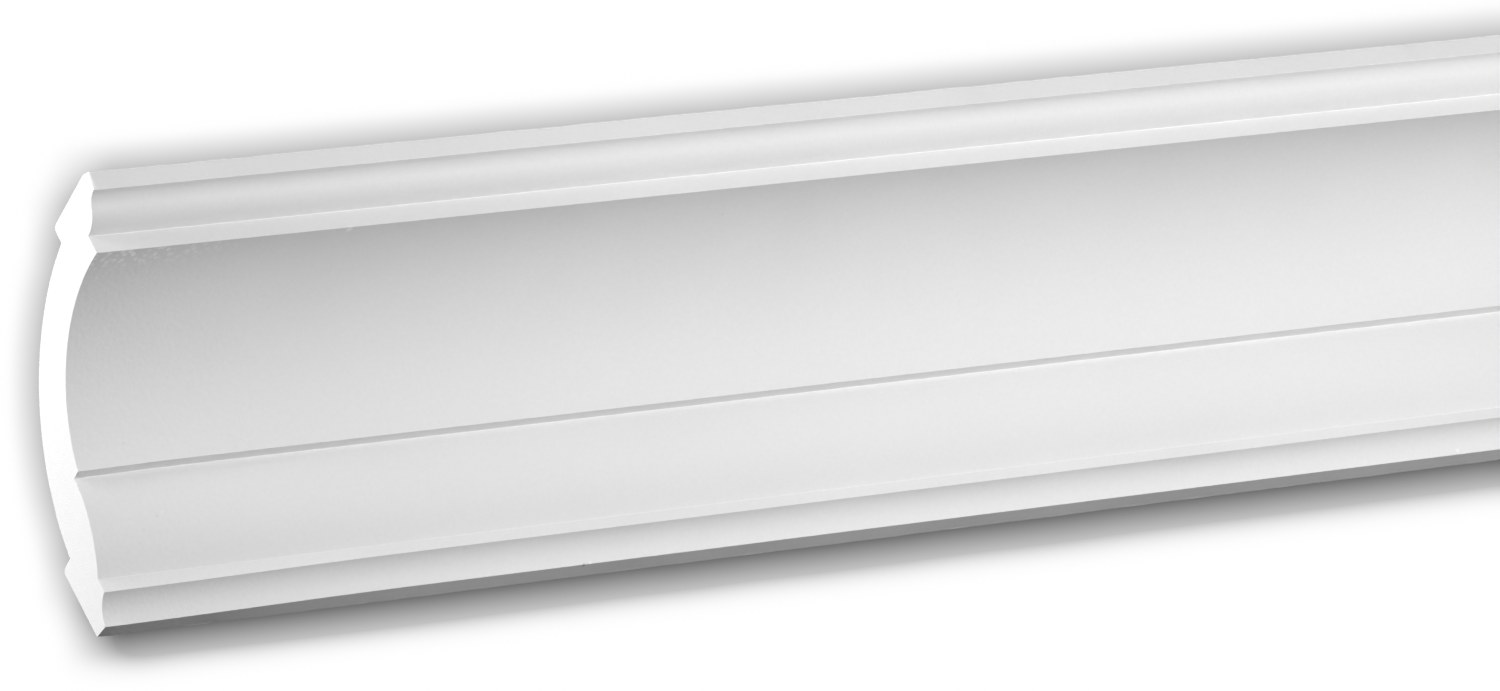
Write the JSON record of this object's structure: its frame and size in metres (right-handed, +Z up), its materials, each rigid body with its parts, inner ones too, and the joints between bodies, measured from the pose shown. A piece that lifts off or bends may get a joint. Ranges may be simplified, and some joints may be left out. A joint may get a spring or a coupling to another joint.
{
  "type": "cornice moulding length",
  "caption": "Length of coved cornice moulding with a hollow back, glued into the corner between wall and ceiling and butted end to end.",
  "frame": {"origin": "centre of the flat that is glued to the wall, halfway along the length", "axes": "+X along the length, +Y out of the glued flat into the wall, +Z up to the ceiling"},
  "size_m": [0.56, 0.1, 0.0983],
  "materials": {
    "primed_foam": "matt white primer on cast rigid foam, bare fine-grained foam on the sawn ends"
  },
  "bodies": {
    "root": {"cornice_moulding": "primed_foam"}
  },
  "joints": []
}
